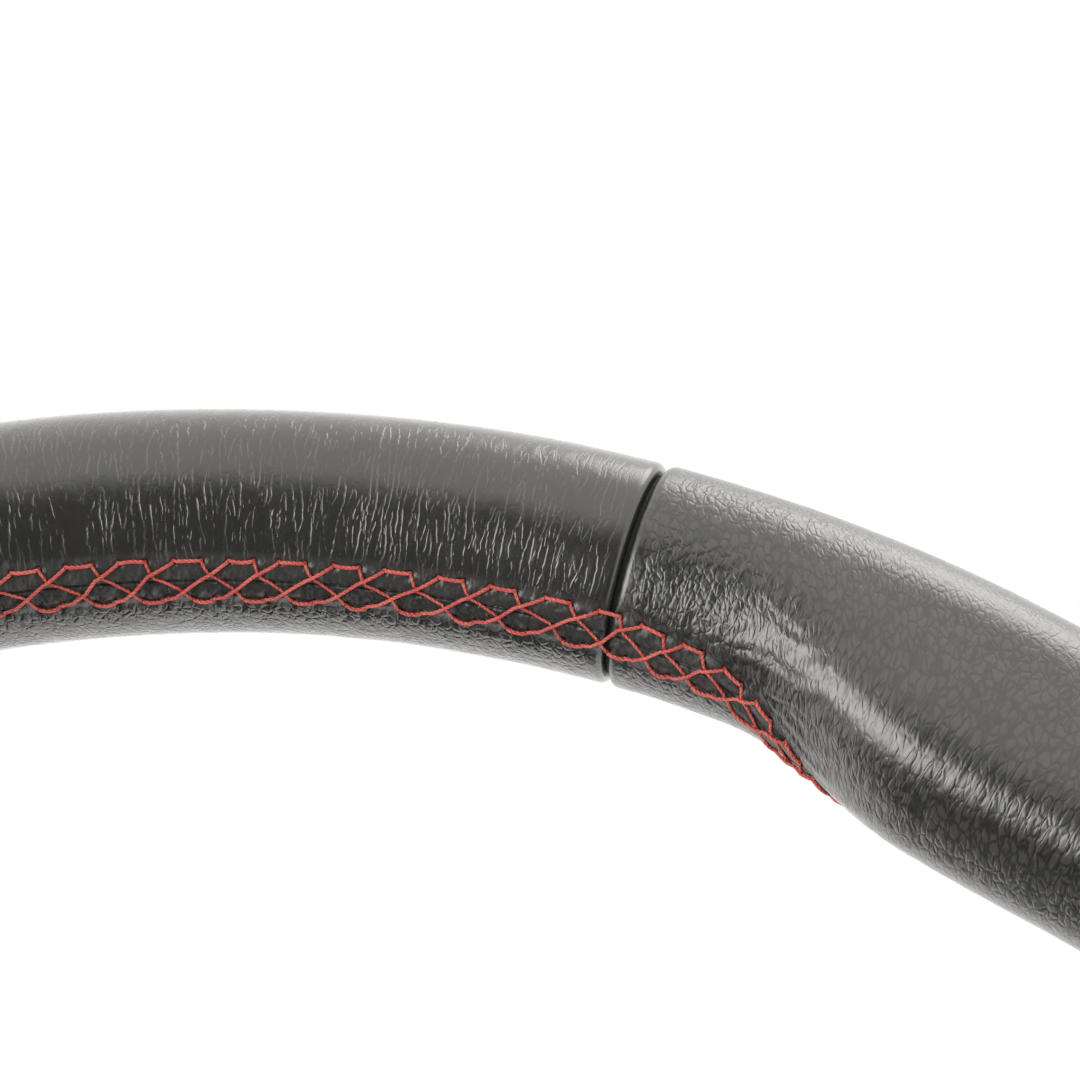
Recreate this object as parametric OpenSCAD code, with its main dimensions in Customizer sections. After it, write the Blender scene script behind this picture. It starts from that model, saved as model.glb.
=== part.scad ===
// Quick release steering wheel: a 350 mm leather wrapped rim on a three spoke
// frame, a horn button, and a ball lock coupling to a splined column spindle.
//
// Frame: +Z up, the steering axis along Y, the driver on the -Y side.  The
// origin is on the axis, at the mouth of the column bore.  Axial stations are
// distances from the origin towards the driver, so a station s lies at y = -s.

/* [Rim] */
// Outside diameter of the rim
rim_d = 350; // [330:5:380]
// Thickness of the covered grip
grip_d = 29; // [27:0.5:32]
// Thickness of the leather cover
leather_t = 1.2; // [0.8:0.1:1.6]
// Ring angle, from the top, at which the top panel meets the grip panel
joint_angle = 30; // [26:1:36]
// Extra reach of the thumb swelling towards the hub, as a share of the section radius
thumb_swell = 0.45; // [0:0.05:0.5]
// Diameter of the tube in the middle of the rim
armature_d = 12; // [10:1:13]
// How far the rim stands in front of the spoke plate
dish = 37; // [30:1:60]

/* [Spokes] */
// Thickness of the spoke plate
plate_t = 4; // [3:0.5:5]
// Width of a spoke where it meets the rim
spoke_w = 28; // [24:1:30]
// Width of the slot in each spoke
slot_w = 9; // [6:1:10]

/* [Bolt circle] */
// Pitch circle of the wheel bolts
bolt_pcd = 70; // [70:0.5:74]
// Number of wheel bolts
bolt_count = 6; // [6:1:6]

/* [Coupling] */
// Bore that takes the steering column tube
column_bore_d = 19.1; // [18:0.1:20]
// Depth of the column bore
column_bore_l = 22; // [18:1:22]
// Diameter of the spindle's plain journal
journal_d = 30; // [30:0.5:30.5]
// Number of spline teeth
spline_n = 16; // [12:1:18]
// Diameter of each locking ball
ball_d = 7; // [7:0.1:7]
// Number of locking balls
ball_count = 6; // [6:1:6]
// Travel of the release collar
collar_travel = 6; // [6:0.1:6.2]

/* [Horn] */
// Diameter of the button cap where it leaves its housing
cap_d = 46.4; // [44:0.2:46.4]
// Travel of the button
horn_travel = 2.5; // [1.5:0.1:2.5]

/* [Hidden] */
$fn = 96;
fit = 0.06;                              // radial clearance of a running fit
gap = 0.05;                              // clearance of faces that rest on each other

// Rim
grip_r = grip_d / 2;
rim_r = rim_d / 2 - grip_r;              // radius of the rim's centre line
cover_in_r = grip_r - leather_t;         // inside of the leather
pad_skin = leather_t + 0.3;             // depth of the padding's surface below the leather's
armature_r = armature_d / 2;
armature_wall = 2;
cover_gap = 0.35;                        // half of the groove between two panels, in degrees
lower_joint_angle = 180 - joint_angle;
ring_step = 2.5;                        // degrees between rings of the padding
section_n = 24;                          // points round a padding or grip section
seam_angle = 197.7;                      // section angle of the seam, 180 faces the hub
seam_shift = 4.7;                        // how far the seam moves back just past the joint
seam_back_angle = 128;                   // section angle of the seam behind the grips
stitch_row = 11;                         // section angle from the seam to a stitch row
thread_r = 0.3;

// Stations along the axis
shoulder_s = 26;                         // face of the spindle's shoulder
mouth_s = 27;                            // mouth of the wheel adaptor
ball_s = 38;                             // plane of the locking balls
journal_end_s = 45;
spindle_end_s = 60;
flange_s = 62;                           // back of the adaptor's flange
plate_s = flange_s + 10;                 // back of the spoke plate
trim_s = plate_s + plate_t;              // back of the horn trim ring
trim_t = 3;
cup_s = trim_s + trim_t + gap;           // back of the horn housing's rim
rim_s = plate_s + dish;                  // middle plane of the rim
spoke_tab_s = rim_s - armature_r - 0.1 - plate_t;

// Ball lock
ball_r = ball_d / 2;
journal_r = journal_d / 2;
ball_rest_r = journal_r + 2;             // radius of the ball centres when locked
ball_lift = journal_r + gap - (ball_rest_r - ball_r);
ramp = ball_lift / collar_travel;        // the balls' lift for each mm of collar travel
nose_r = 20;                             // outside of the adaptor's ball cage
ramp_at_ball = ball_rest_r + ball_r * sqrt(1 + ramp * ramp) + gap;
collar_s = 28.5;                         // column end of the collar
collar_end_s = 52;                       // driver end of the collar
land_end_s = 45;
clip_s = 29.2;
clip_t = 1.75;
clip_r = 22.75;
spring_pocket_r = 22.9;

// Splines
spline_tip_r = 13.3;
spline_root_r = 12.1;
spline_play = 0.12;
lead_hole_r = 4;

// Hub
flange_r = 41;
hub_open_r = 27.2;
m5_r = 2.5;

// Horn
cup_r = 26.6;
cup_back_s = plate_s - 4.5;
cup_floor_s = cup_back_s + 2;
cup_front_s = cup_s + 2.4;
cup_in_r = 24.6;
cap_r = cap_d / 2;
foot_s = cup_s - 1.4;                    // back of the cap's foot
cap_top_s = cup_front_s + 5;
cap_in_s = cup_front_s + 2;
contact_s = cup_floor_s + 1.1;           // face of the fixed contact

// ---------------------------------------------------------------- helpers

// Turns local Z into the axial station, and local Y into world Z.
module on_axis() rotate([90, 0, 0]) children();

// A body of revolution about the steering axis from [radius, station] points.
module turned(points) on_axis() rotate_extrude() polygon(points);

module tube(r, r_in, from, to) turned([[r_in, from], [r, from], [r, to], [r_in, to]]);

// A plain cylinder along the axis, centred at x, z of the front view.
module axial_pin(x, z, r, from, to)
    on_axis() translate([x, z, from]) cylinder(r = r, h = to - from, $fn = 32);

module at_bolts()
    for (i = [0:bolt_count - 1])
        rotate([0, 30 + i * 360 / bolt_count, 0]) translate([0, 0, bolt_pcd / 2]) children();

module at_spokes() for (turn = [90, 180, 270]) rotate([0, turn, 0]) children();

// A smooth step from 0 to 1 while x goes from 0 to 1.
function ease(x) = let (c = min(1, max(0, x))) c * c * (3 - 2 * c);

// The point of the rim at ring angle t, section angle p and section radius r.
function rim_point(t, p, r) =
    let (radius = rim_r + r * cos(p))
    [radius * sin(t), -rim_s + r * sin(p), radius * cos(t)];

// How much of the thumb swelling there is at ring angle t, from 0 to 1.
function swell(t) = ease((t - joint_angle - 6) / 11) * (1 - ease((t - joint_angle - 17.5) / 20));

// How much the swelling is flattened on the driver's side, from 0 to 1.
function flattened(t) = ease((t - joint_angle - 3) / 12) * (1 - ease((t - joint_angle - 32) / 14));

// Section radius of the covered rim: a circle on the outer side, a flattened
// and longer superellipse on the side of the hub.
function cover_r(t, p) =
    let (u = min(t, 360 - t),
         n = 2 + (sin(p) < 0 ? 0.9 : 0.1) * flattened(u))
    cos(p) >= 0 ? grip_r
    : pow(pow(-cos(p) / (grip_r * (1 + thumb_swell * swell(u))), n) + pow(abs(sin(p)) / grip_r, n), -1 / n);

function rim_ring(t, depth) =
    [for (j = [0:section_n - 1]) let (p = 360 * j / section_n) rim_point(t, p, cover_r(t, p) - depth)];

// Section angle of the seam at ring angle t of the right half.
function seam_at(t) =
    let (start = seam_shift * ease((t - joint_angle) / 4),
         rest = (seam_angle - seam_shift - seam_back_angle) * ease((t - joint_angle - 3.8) / 12.5))
    seam_angle - (start + rest) * (1 - ease((t - lower_joint_angle + 18) / 15));

// Two triangles for each cell between rings a and b, of n points each.
function band(a, b, n) =
    [for (j = [0:n - 1]) let (k = (j + 1) % n)
        each [[a + j, a + k, b + k], [a + j, b + k, b + j]]];

// A solid swept through equal rings; closed rings join the last to the first.
module swept(rings, closed = false) {
    n = len(rings[0]);
    m = len(rings);
    sides = [for (i = [0:m - (closed ? 1 : 2)]) each band(i * n, ((i + 1) % m) * n, n)];
    caps = closed ? [] : [[for (j = [n - 1:-1:0]) j], [for (j = [0:n - 1]) (m - 1) * n + j]];
    polyhedron([for (r = rings) each r], concat(sides, caps), convexity = 8);
}

// A tube with open ends whose outside and inside are swept through equal rings.
module swept_shell(outer, inner) {
    n = len(outer[0]);
    m = len(outer);
    base = m * n;
    last = (m - 1) * n;
    outside = [for (i = [0:m - 2]) each band(i * n, (i + 1) * n, n)];
    inside = [for (i = [0:m - 2]) each band(base + (i + 1) * n, base + i * n, n)];
    ends = concat(band(base, 0, n), band(last, base + last, n));
    points = concat([for (r = outer) each r], [for (r = inner) each r]);
    polyhedron(points, concat(outside, inside, ends), convexity = 8);
}

// A coil about the axis with a closed turn at each end.
module coil(mean_r, wire_r, from, to, turns) {
    steps = 14;
    sides = 6;
    ends = 2 * wire_r;
    rise = to - from - 2 * wire_r - 2 * ends;
    on_axis() swept([for (i = [0:turns * steps])
        let (turn = i / steps)
        let (first = min(turn, 1), middle = min(max(turn - 1, 0), turns - 2), final = max(turn - turns + 1, 0))
        let (station = from + wire_r + ends * (first + final) + rise * middle / (turns - 2))
        [for (j = [0:sides - 1])
            let (q = -360 * j / sides, r = mean_r + wire_r * cos(q))
            [r * cos(360 * turn), r * sin(360 * turn), station + wire_r * sin(q)]]]);
}

// An arc of the rim, of a section disc of radius r, from ring angle t1 to t2.
module rim_arc(r, t1, t2)
    on_axis() translate([0, 0, rim_s]) rotate([0, 0, 90 - t2])
        rotate_extrude(angle = t2 - t1) translate([rim_r, 0]) circle(r = r, $fn = 48);

// The pocket that lets a spoke's tab pass through the cover and the padding.
module tab_pocket(play)
    on_axis() translate([-spoke_w / 2 - play, 138, spoke_tab_s - play])
        cube([spoke_w + 2 * play, rim_r + 4 - 138, plate_t + 2 * play]);

// ------------------------------------------------------- column side

module spline_teeth(count, root, tip, width, from, to)
    on_axis() translate([0, 0, from]) linear_extrude(height = to - from)
        for (i = [0:count - 1]) rotate(i * 360 / count)
            polygon([[root - 0.6, -width / 2], [tip, -width * 0.38], [tip, width * 0.38], [root - 0.6, width / 2]]);

module hub_spindle() {
    core = [
        [column_bore_d / 2, 0], [13.4, 0], [14, 0.6], [14, 17], [18.6, 20],
        [18.6, shoulder_s], [journal_r, shoulder_s], [journal_r, journal_end_s],
        [spline_root_r, journal_end_s + 1], [spline_root_r, spindle_end_s - 1],
        [spline_root_r - 1, spindle_end_s], [lead_hole_r, spindle_end_s],
        [lead_hole_r, column_bore_l], [column_bore_d / 2, column_bore_l]
    ];
    color("dimgray") difference() {
        union() {
            turned(core);
            spline_teeth(spline_n, spline_root_r, spline_tip_r, 2.9, journal_end_s, spindle_end_s - 1.5);
        }
        on_axis() translate([0, 0, ball_s])
            rotate_extrude() translate([ball_rest_r, 0]) circle(r = ball_r + 0.1, $fn = 48);
    }
}

// --------------------------------------------------------- wheel side

module wheel_adaptor() {
    body = [
        [journal_r + fit + 0.8, mouth_s], [nose_r - 0.5, mouth_s], [nose_r, mouth_s + 0.5],
        [nose_r, clip_s - gap], [nose_r - 1.2, clip_s - gap], [nose_r - 1.2, clip_s + clip_t + gap],
        [nose_r, clip_s + clip_t + gap], [nose_r, flange_s], [flange_r - 1, flange_s],
        [flange_r, flange_s + 1], [flange_r, plate_s], [hub_open_r, plate_s],
        [hub_open_r, plate_s - 5.5], [14, plate_s - 5.5], [14, flange_s + 0.8],
        [lead_hole_r + 0.5, flange_s + 0.8], [lead_hole_r + 0.5, spindle_end_s + 1],
        [spline_root_r + spline_play, spindle_end_s + 1], [spline_root_r + spline_play, journal_end_s + 1.5],
        [journal_r + fit, journal_end_s + 0.3], [journal_r + fit, mouth_s + 0.8]
    ];
    color("silver") difference() {
        turned(body);
        spline_teeth(spline_n, spline_root_r, spline_tip_r + spline_play, 3.2, journal_end_s, spindle_end_s + 0.5);
        for (i = [0:ball_count - 1]) rotate([0, i * 360 / ball_count, 0])
            translate([0, -ball_s, 0]) cylinder(r = ball_r + gap, h = nose_r + 1, $fn = 48);
        at_bolts() axial_pin(0, 0, m5_r, flange_s - 1, plate_s + 1);
        for (i = [0:bolt_count - 1]) rotate([0, i * 360 / bolt_count, 0])
            axial_pin(0, bolt_pcd / 2 + 9, 7, flange_s - 1, plate_s + 1);
    }
}

module release_collar() {
    recess_r = ramp_at_ball + ball_lift;
    land_s = ball_s + (ramp_at_ball - nose_r - fit) / ramp;
    body = [
        [clip_r + 0.2, collar_s], [30, collar_s], [31, collar_s + 1], [31, collar_s + 3.5],
        [30, collar_s + 4.5], [27.5, collar_s + 5.5], [27.5, collar_end_s - 1], [26.5, collar_end_s],
        [spring_pocket_r, collar_end_s], [spring_pocket_r, land_end_s], [nose_r + fit, land_end_s],
        [nose_r + fit, land_s], [recess_r, ball_s - collar_travel],
        [recess_r, clip_s + clip_t + gap], [clip_r + 0.2, clip_s + clip_t + gap]
    ];
    color("crimson") difference() {
        turned(body);
        for (i = [0:23]) rotate([0, i * 15, 0]) axial_pin(0, 28.4, 1.6, collar_s + 7, collar_end_s + 1);
    }
}

module collar_spring()
    color("lightsteelblue") coil(21.6, 0.6, land_end_s + 0.1, flange_s - 0.1, 6);

module collar_circlip()
    color("gainsboro") difference() {
        tube(clip_r, nose_r - 1.1, clip_s, clip_s + clip_t);
        on_axis() translate([-2, -clip_r - 2, clip_s - 1]) cube([4, 6, clip_t + 2]);
    }

module locking_ball(i)
    color("gainsboro") rotate([0, i * 360 / ball_count, 0])
        translate([0, -ball_s, ball_rest_r]) sphere(r = ball_r, $fn = 48);

module wheel_bolts() {
    shank = m5_r - gap;
    head = [
        [0, flange_s + 1], [shank, flange_s + 1], [shank, trim_s + trim_t - 2.5],
        [4.7, trim_s + trim_t - 0.2], [4.7, trim_s + trim_t], [1.6, trim_s + trim_t],
        [1.6, trim_s + trim_t - 1.8], [0, trim_s + trim_t - 1.8]
    ];
    color("black") at_bolts() on_axis() rotate_extrude($fn = 32) polygon(head);
}

// One spoke, pointing up, cut from a bent strip by its outline.
module spoke() {
    root = 58;
    tip = 132;
    bend = [
        [20, plate_s], [root, plate_s], [tip, spoke_tab_s], [rim_r + 3, spoke_tab_s],
        [rim_r + 3, spoke_tab_s + plate_t], [tip - 0.7, spoke_tab_s + plate_t],
        [root - 0.7, plate_s + plate_t], [20, plate_s + plate_t]
    ];
    outline = [
        [-25, 20], [-19, root], [-spoke_w / 2, tip], [-spoke_w / 2, rim_r + 3],
        [spoke_w / 2, rim_r + 3], [spoke_w / 2, tip], [19, root], [25, 20]
    ];
    difference() {
        intersection() {
            rotate([90, 0, -90]) linear_extrude(height = 60, center = true)
                polygon([for (p = bend) [p[1], p[0]]]);
            on_axis() linear_extrude(height = rim_s + 20) polygon(outline);
        }
        on_axis() linear_extrude(height = rim_s + 20) {
            translate([0, 66]) circle(d = slot_w, $fn = 48);
            translate([-slot_w / 2, 66]) square([slot_w, 56]);
            translate([0, 122]) circle(d = slot_w, $fn = 48);
        }
    }
}

module spoke_frame()
    color("dimgray") difference() {
        union() {
            tube(43, hub_open_r, plate_s, plate_s + plate_t);
            at_spokes() spoke();
        }
        tube(hub_open_r, 0, plate_s - 1, plate_s + plate_t + 1);
        at_bolts() axial_pin(0, 0, m5_r + 0.25, plate_s - 1, plate_s + plate_t + 1);
        at_spokes() rivet_cores(2.05, spoke_tab_s - 1, spoke_tab_s + plate_t + 1);
    }

module rivet_cores(r, from, to) for (x = [-7, 7]) axial_pin(x, rim_r, r, from, to);

module spoke_rivets()
    color("gainsboro") at_spokes() {
        rivet_cores(2, spoke_tab_s - 1, rim_s + armature_r + 0.4);
        rivet_cores(3.5, spoke_tab_s - 1.8, spoke_tab_s - gap);
        rivet_cores(3.5, rim_s + armature_r + gap, rim_s + armature_r + 1.3);
    }

module rim_armature()
    color("silver") difference() {
        on_axis() translate([0, 0, rim_s]) rotate_extrude() translate([rim_r, 0]) difference() {
            circle(r = armature_r, $fn = 48);
            circle(r = armature_r - armature_wall, $fn = 48);
        }
        at_spokes() rivet_cores(2.05, rim_s - 10, rim_s + 10);
    }

module rim_padding()
    color("darkgray") difference() {
        swept([for (i = [0:360 / ring_step - 1]) rim_ring(i * ring_step, pad_skin)], closed = true);
        on_axis() translate([0, 0, rim_s])
            rotate_extrude() translate([rim_r, 0]) circle(r = armature_r + 0.05, $fn = 48);
        at_spokes() {
            tab_pocket(0.2);
            rivet_cores(3.7, spoke_tab_s - 2, rim_s + armature_r + 1.5);
        }
    }

// ------------------------------------------------- leather and seams

module leather_arc(t1, t2)
    difference() {
        rim_arc(grip_r, t1, t2);
        rim_arc(cover_in_r, t1 - 1, t2 + 1);
    }

module leather_top()
    color("darkslategray") leather_arc(-joint_angle + cover_gap, joint_angle - cover_gap);

module leather_bottom()
    color("darkslategray") difference() {
        leather_arc(lower_joint_angle + cover_gap, 360 - lower_joint_angle - cover_gap);
        rotate([0, 180, 0]) tab_pocket(0.4);
    }

module leather_grip() {
    from = joint_angle + cover_gap;
    steps = 40;
    step = (lower_joint_angle - cover_gap - from) / steps;
    color("#2b2d30") difference() {
        swept_shell([for (i = [0:steps]) rim_ring(from + i * step, 0)],
                    [for (i = [0:steps]) rim_ring(from + i * step, leather_t)]);
        rotate([0, 90, 0]) tab_pocket(0.4);
    }
}

module leather_grip_right() leather_grip();

module leather_grip_left() mirror([1, 0, 0]) leather_grip();

// The two stitch rows of a plain panel, as thin rings laid on the leather.
module thread_arc(t1, t2)
    color("firebrick") for (side = [-1, 1])
        on_axis() translate([0, 0, rim_s]) rotate([0, 0, 90 - t2]) rotate_extrude(angle = t2 - t1)
            translate([rim_r + (grip_r + thread_r + gap) * cos(seam_angle + side * stitch_row),
                       -(grip_r + thread_r + gap) * sin(seam_angle + side * stitch_row)])
                circle(r = thread_r, $fn = 24);

module seam_thread_top() thread_arc(-joint_angle + 1, joint_angle - 1);

module seam_thread_bottom() {
    thread_arc(lower_joint_angle + 1, 172);
    thread_arc(188, 359 - lower_joint_angle);
}

// One stitch row of a grip panel, from ring angle t1 to t2.
module grip_thread(side, t1, t2) {
    steps = ceil((t2 - t1) / 2);
    sides = 6;
    swept([for (i = [0:steps])
        let (t = t1 + i * (t2 - t1) / steps, p = seam_at(t) + side * stitch_row)
        let (lift = cover_r(t, p) + thread_r + 0.35)
        [for (j = [0:sides - 1]) let (q = 360 * j / sides)
            rim_point(t, p + 360 * thread_r * sin(q) / (2 * PI * lift), lift + thread_r * cos(q))]]);
}

module grip_threads()
    color("firebrick") for (side = [-1, 1]) {
        grip_thread(side, joint_angle + 1, 82);
        grip_thread(side, 98, lower_joint_angle - 1);
    }

module seam_thread_grip_right() grip_threads();

module seam_thread_grip_left() mirror([1, 0, 0]) grip_threads();

// --------------------------------------------------------------- horn

module horn_trim_ring()
    color("dimgray") difference() {
        turned([[27, trim_s], [flange_r, trim_s], [flange_r, trim_s + trim_t - 1],
                [flange_r - 1, trim_s + trim_t], [27, trim_s + trim_t]]);
        at_bolts() on_axis() rotate_extrude($fn = 32)
            polygon([[0, trim_s - 1], [m5_r + gap, trim_s - 1], [m5_r + gap, trim_s + trim_t - 2.5 - gap],
                     [4.8, trim_s + trim_t - 0.2], [4.8, trim_s + trim_t + 1], [0, trim_s + trim_t + 1]]);
    }

module horn_housing()
    color("#202124") difference() {
        turned([[0, cup_back_s], [cup_r - 1, cup_back_s], [cup_r, cup_back_s + 1], [cup_r, cup_s],
                [30.5, cup_s], [30.5, cup_s + 1.2], [29.3, cup_front_s], [cap_r + 0.3, cup_front_s],
                [cap_r + 0.3, cup_s + 0.8], [cup_in_r, cup_s + 0.8], [cup_in_r, cup_floor_s], [0, cup_floor_s]]);
        for (x = [-5, 5]) on_axis() translate([x - 0.5, -3.25, cup_back_s - 1]) cube([1, 6.5, 4]);
    }

module horn_cap()
    color("#17181a") turned(concat(
        [[cap_r - 2, foot_s], [cap_r + 1, foot_s], [cap_r + 1, cup_s + 0.6], [cap_r, cup_s + 0.6],
         [cap_r, cap_top_s - 3], [cap_r - 0.2, cap_top_s - 2.2], [cap_r - 0.7, cap_top_s - 1.5],
         [cap_r - 1.5, cap_top_s - 1]],
        // the crown, a shallow dome
        [for (i = [10:-1:0]) [(cap_r - 2.4) * i / 10, cap_top_s + 0.6 - 1.3 * pow(i / 10, 2)]],
        [[0, cap_in_s], [cap_r - 2, cap_in_s]]
    ));

module horn_moving_contact()
    color("goldenrod") turned([
        [0, contact_s + horn_travel + gap], [3, contact_s + horn_travel + gap], [3, cap_in_s - 1.2 - gap],
        [11, cap_in_s - 1.2 - gap], [11, cap_in_s - gap], [0, cap_in_s - gap]
    ]);

module horn_fixed_contact()
    color("goldenrod") tube(8, 0, cup_floor_s + gap, contact_s);

module horn_spring()
    color("lightsteelblue") coil(15, 0.5, cup_floor_s + 0.1, cap_in_s - 0.1, 5);

module horn_terminals()
    color("goldenrod") for (x = [-5, 5])
        on_axis() translate([x - 0.4, -3.15, flange_s + 1.2]) cube([0.8, 6.3, cup_floor_s - flange_s - 1.2]);

hub_spindle();
wheel_adaptor();
release_collar();
collar_spring();
collar_circlip();
for (i = [1:ball_count]) locking_ball(i);
wheel_bolts();
spoke_frame();
spoke_rivets();
rim_armature();
rim_padding();
leather_top();
leather_bottom();
leather_grip_right();
leather_grip_left();
seam_thread_top();
seam_thread_bottom();
seam_thread_grip_right();
seam_thread_grip_left();
horn_trim_ring();
horn_housing();
horn_cap();
horn_moving_contact();
horn_fixed_contact();
horn_spring();
horn_terminals();
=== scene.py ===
import math

import bpy
import numpy as np
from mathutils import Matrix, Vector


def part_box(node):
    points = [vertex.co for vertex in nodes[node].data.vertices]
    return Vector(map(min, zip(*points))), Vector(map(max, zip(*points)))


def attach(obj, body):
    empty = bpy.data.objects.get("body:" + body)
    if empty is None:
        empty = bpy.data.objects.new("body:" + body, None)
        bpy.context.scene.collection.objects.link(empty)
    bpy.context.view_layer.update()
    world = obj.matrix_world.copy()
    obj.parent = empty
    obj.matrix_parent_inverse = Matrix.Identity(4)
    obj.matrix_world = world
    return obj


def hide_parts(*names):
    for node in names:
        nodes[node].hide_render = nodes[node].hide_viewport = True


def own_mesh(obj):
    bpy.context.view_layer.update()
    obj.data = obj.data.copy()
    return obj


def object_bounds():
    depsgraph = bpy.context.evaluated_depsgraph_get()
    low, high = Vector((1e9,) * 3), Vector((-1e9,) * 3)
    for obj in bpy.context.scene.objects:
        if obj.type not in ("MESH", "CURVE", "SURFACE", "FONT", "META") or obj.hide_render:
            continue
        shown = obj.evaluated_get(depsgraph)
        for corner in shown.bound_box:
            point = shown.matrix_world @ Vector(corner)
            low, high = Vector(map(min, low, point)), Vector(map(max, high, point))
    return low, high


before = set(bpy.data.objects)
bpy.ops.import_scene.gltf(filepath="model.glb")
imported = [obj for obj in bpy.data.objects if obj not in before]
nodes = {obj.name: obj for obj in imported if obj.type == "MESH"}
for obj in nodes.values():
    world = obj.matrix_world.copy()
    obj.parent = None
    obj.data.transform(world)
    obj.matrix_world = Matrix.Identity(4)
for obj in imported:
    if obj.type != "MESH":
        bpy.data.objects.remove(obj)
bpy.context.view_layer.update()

# ----------------------------------------------------------------------------
# Column spindle.  A turned steel plug, welded to the steering column, with a
# ground journal, the lock ridge for the balls and sixteen milled splines.
# ----------------------------------------------------------------------------


class Value:
    """One output of a shader node, so that a pattern is written as a sum."""

    def __init__(self, finish, socket):
        self.finish, self.socket = finish, socket

    def maths(self, operation, a, b=0.0):
        return self.finish.node("ShaderNodeMath", {"operation": operation}, {0: a, 1: b})

    def __add__(self, other):
        return self.maths("ADD", self, other)

    def __radd__(self, other):
        return self.maths("ADD", other, self)

    def __sub__(self, other):
        return self.maths("SUBTRACT", self, other)

    def __rsub__(self, other):
        return self.maths("SUBTRACT", other, self)

    def __mul__(self, other):
        return self.maths("MULTIPLY", self, other)

    def __rmul__(self, other):
        return self.maths("MULTIPLY", other, self)

    def __truediv__(self, other):
        return self.maths("DIVIDE", self, other)

    def __pow__(self, other):
        return self.maths("POWER", self, other)

    def __abs__(self):
        return self.maths("ABSOLUTE", self)

    def least(self, other):
        return self.maths("MINIMUM", self, other)

    def most(self, other):
        return self.maths("MAXIMUM", self, other)

    def wave(self):
        return self.maths("SINE", self)

    def held(self):
        return self.most(0.0).least(1.0)

    def rise(self, low, high):
        """0 below low and 1 above high, with a soft change between."""
        return self.finish.node("ShaderNodeMapRange", {"interpolation_type": "SMOOTHSTEP"},
                                {"Value": self, "From Min": low, "From Max": high})


class Finish:
    """A material built on the Principled shader, in the row's millimetres."""

    def __init__(self, name):
        self.material = bpy.data.materials.new(name)
        self.material.use_nodes = True
        self.tree = self.material.node_tree
        self.surface = self.tree.nodes["Principled BSDF"]

    def node(self, kind, settings=None, inputs=None, output=0):
        """A node with its settings made first, then its sockets fed."""
        made = self.tree.nodes.new(kind)
        for key, value in (settings or {}).items():
            setattr(made, key, value)
        for key, value in (inputs or {}).items():
            if isinstance(value, Value):
                self.tree.links.new(value.socket, made.inputs[key])
            else:
                made.inputs[key].default_value = value
        return Value(self, made.outputs[output])

    def give(self, **sockets):
        """Values or links for the shader's own sockets, such as Base_Color."""
        for key, value in sockets.items():
            socket = self.surface.inputs[key.replace("_", " ")]
            if isinstance(value, Value):
                self.tree.links.new(value.socket, socket)
            else:
                socket.default_value = value

    def blend(self, factor, first, second):
        """A colour between two colours."""
        made = self.tree.nodes.new("ShaderNodeMix")
        made.data_type = "RGBA"
        for key, value in (("Factor", factor), ("A", first), ("B", second)):
            socket = next(s for s in made.inputs if s.name == key and s.enabled)
            if isinstance(value, Value):
                self.tree.links.new(value.socket, socket)
            else:
                socket.default_value = value
        return Value(self, next(s for s in made.outputs if s.enabled))

    def parts(self, vector):
        """The three numbers of a vector."""
        return [self.node("ShaderNodeSeparateXYZ", None, {0: vector}, k) for k in range(3)]

    def vector(self, x, y, z=0.0):
        return self.node("ShaderNodeCombineXYZ", None, {0: x, 1: y, 2: z})

    def place(self):
        """Object coordinates, in millimetres."""
        point = self.node("ShaderNodeTexCoord", output=3)
        return self.node("ShaderNodeVectorMath", {"operation": "MULTIPLY"},
                         {0: point, 1: (1000.0, 1000.0, 1000.0)})

    def noise(self, vector, scale=1.0, detail=2.0, roughness=0.5):
        return self.node("ShaderNodeTexNoise", None, {
            "Vector": vector, "Scale": scale, "Detail": detail, "Roughness": roughness})

    def cell_edge(self, vector, scale=1.0):
        """Distance to the border of irregular cells."""
        return self.node("ShaderNodeTexVoronoi", {"feature": "DISTANCE_TO_EDGE"},
                         {"Vector": vector, "Scale": scale})

    def relief(self, height):
        """Bump from a height in millimetres."""
        self.give(Normal=self.node("ShaderNodeBump", None, {
            "Strength": 1.0, "Distance": 0.001, "Height": height}))

    def dress(self, *pieces):
        for piece in pieces:
            piece.data.materials.clear()
            piece.data.materials.append(self.material)


def turned_metal(name, dark, light, roughness):
    """Metal off the lathe: fine rings round the axis, and a few handling marks."""
    tool_mark = 0.012  # depth of the rings
    metal = Finish(name)
    x, y, z = metal.parts(metal.place())
    radius = (x * x + z * z) ** 0.5
    rings = metal.noise(metal.vector(radius * 2.6, y * 2.6), 1.0, 3.0, 0.7)
    fine = metal.noise(metal.vector(radius * 11.0, y * 11.0), 1.0, 1.0)
    smudge = metal.noise(metal.place(), 0.11, 3.0)
    marks = metal.cell_edge(metal.place(), 0.16)
    scratch = (1.0 - marks.rise(0.0, 0.02)) * smudge.rise(0.5, 0.62)
    metal.give(Base_Color=metal.blend((rings * 0.6 + smudge * 0.5).held(), dark, light),
               Metallic=1.0,
               Roughness=(rings * 0.14 + smudge * 0.16 + scratch * 0.2 + roughness).held())
    metal.relief(rings * tool_mark + fine * (tool_mark * 0.35) - scratch * 0.01)
    return metal


spindle_steel = turned_metal("machined_steel", (0.20, 0.195, 0.19, 1), (0.34, 0.33, 0.32, 1), 0.2)
spindle_steel.dress(nodes["hub_spindle"])

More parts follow.
